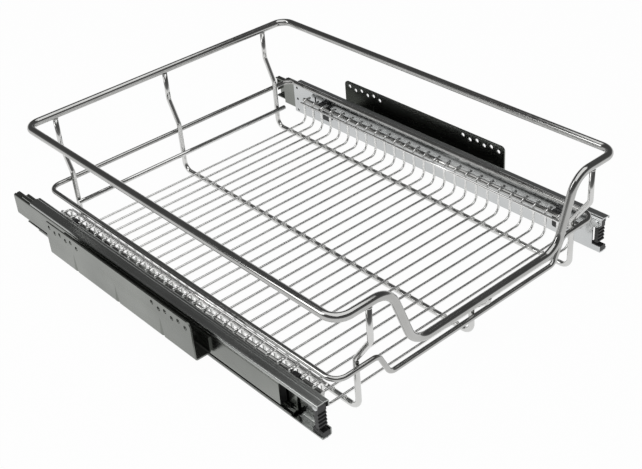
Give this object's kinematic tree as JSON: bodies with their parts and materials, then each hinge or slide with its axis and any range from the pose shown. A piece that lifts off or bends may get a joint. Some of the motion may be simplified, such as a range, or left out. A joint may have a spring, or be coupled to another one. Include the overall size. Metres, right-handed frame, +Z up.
{
  "type": "pull out cabinet basket",
  "caption": "Chromed wire basket with a dipped front, carried in a cabinet on two telescopic ball slides with wall brackets",
  "frame": {"origin": "middle of the base of the whole product, midway between the front of the rim and the rear of the cabinet rails, at the underside of the floor bearers", "axes": "+X to the right seen from the front, +Y to the back of the cabinet, +Z up; the basket pulls out along -Y"},
  "size_m": [0.4048, 0.5066, 0.126],
  "materials": {
    "chrome_wire": "bright chrome-plated steel wire",
    "zinc_sheet": "zinc-plated cold-rolled sheet",
    "black_plastic": "moulded black plastic",
    "bearing_steel": "polished bearing steel"
  },
  "bodies": {
    "cabinet_side": {"left_cabinet_rail": "zinc_sheet", "left_spacer_bracket": "zinc_sheet", "left_bracket_rivets": "zinc_sheet", "left_front_stop": "black_plastic", "right_cabinet_rail": "zinc_sheet", "right_spacer_bracket": "zinc_sheet", "right_bracket_rivets": "zinc_sheet", "right_front_stop": "black_plastic"},
    "basket": {"top_rim_wire": "chrome_wire", "mid_ring_wire": "chrome_wire", "rear_low_wire": "chrome_wire", "left_post_wire": "chrome_wire", "centre_post_wire": "chrome_wire", "right_post_wire": "chrome_wire", "floor_wires": "chrome_wire", "left_drawer_rail": "zinc_sheet", "left_front_cap": "black_plastic", "left_rear_clip": "black_plastic", "left_front_clip": "black_plastic", "left_lever_pin": "zinc_sheet", "left_side_wire": "chrome_wire", "left_tie_wire": "chrome_wire", "right_drawer_rail": "zinc_sheet", "right_front_cap": "black_plastic", "right_rear_clip": "black_plastic", "right_front_clip": "black_plastic", "right_lever_pin": "zinc_sheet", "right_side_wire": "chrome_wire", "right_tie_wire": "chrome_wire"},
    "left_middle": {"left_middle_rail": "zinc_sheet"},
    "left_inner_cage": {"left_inner_ball_cage": "zinc_sheet", "left_inner_balls": "bearing_steel"},
    "left_outer_cage": {"left_outer_ball_cage": "zinc_sheet", "left_outer_balls": "bearing_steel"},
    "left_lever": {"left_release_lever": "black_plastic"},
    "right_middle": {"right_middle_rail": "zinc_sheet"},
    "right_inner_cage": {"right_inner_ball_cage": "zinc_sheet", "right_inner_balls": "bearing_steel"},
    "right_outer_cage": {"right_outer_ball_cage": "zinc_sheet", "right_outer_balls": "bearing_steel"},
    "right_lever": {"right_release_lever": "black_plastic"}
  },
  "joints": [
    {"name": "basket_slide", "type": "slide", "parent": "cabinet_side", "child": "basket", "axis": [0, -1, 0], "range_m": [-0.02, 0.384]},
    {"name": "left_middle_slide", "type": "slide", "parent": "cabinet_side", "child": "left_middle", "axis": [0, -1, 0], "range_m": [-0.0102, 0.1922]},
    {"name": "left_inner_cage_slide", "type": "slide", "parent": "cabinet_side", "child": "left_inner_cage", "axis": [0, -1, 0], "range_m": [-0.0052, 0.0962]},
    {"name": "left_outer_cage_slide", "type": "slide", "parent": "cabinet_side", "child": "left_outer_cage", "axis": [0, -1, 0], "range_m": [-0.0152, 0.2882]},
    {"name": "right_middle_slide", "type": "slide", "parent": "cabinet_side", "child": "right_middle", "axis": [0, -1, 0], "range_m": [-0.0102, 0.1922]},
    {"name": "right_inner_cage_slide", "type": "slide", "parent": "cabinet_side", "child": "right_inner_cage", "axis": [0, -1, 0], "range_m": [-0.0052, 0.0962]},
    {"name": "right_outer_cage_slide", "type": "slide", "parent": "cabinet_side", "child": "right_outer_cage", "axis": [0, -1, 0], "range_m": [-0.0152, 0.2882]},
    {"name": "left_lever_hinge", "type": "hinge", "parent": "basket", "child": "left_lever", "pos_m": [-0.178, -0.23175, 0.0352], "axis": [1, 0, 0], "range_deg": [0, 8], "stiffness_Nm_per_rad": 0.3},
    {"name": "right_lever_hinge", "type": "hinge", "parent": "basket", "child": "right_lever", "pos_m": [0.178, -0.23175, 0.0352], "axis": [1, 0, 0], "range_deg": [0, 8], "stiffness_Nm_per_rad": 0.3}
  ],
  "couplings": [
    {"joint": "left_middle_slide", "follows": "basket_slide", "ratio": 0.5},
    {"joint": "left_inner_cage_slide", "follows": "basket_slide", "ratio": 0.25},
    {"joint": "left_outer_cage_slide", "follows": "basket_slide", "ratio": 0.75},
    {"joint": "right_middle_slide", "follows": "basket_slide", "ratio": 0.5},
    {"joint": "right_inner_cage_slide", "follows": "basket_slide", "ratio": 0.25},
    {"joint": "right_outer_cage_slide", "follows": "basket_slide", "ratio": 0.75}
  ]
}
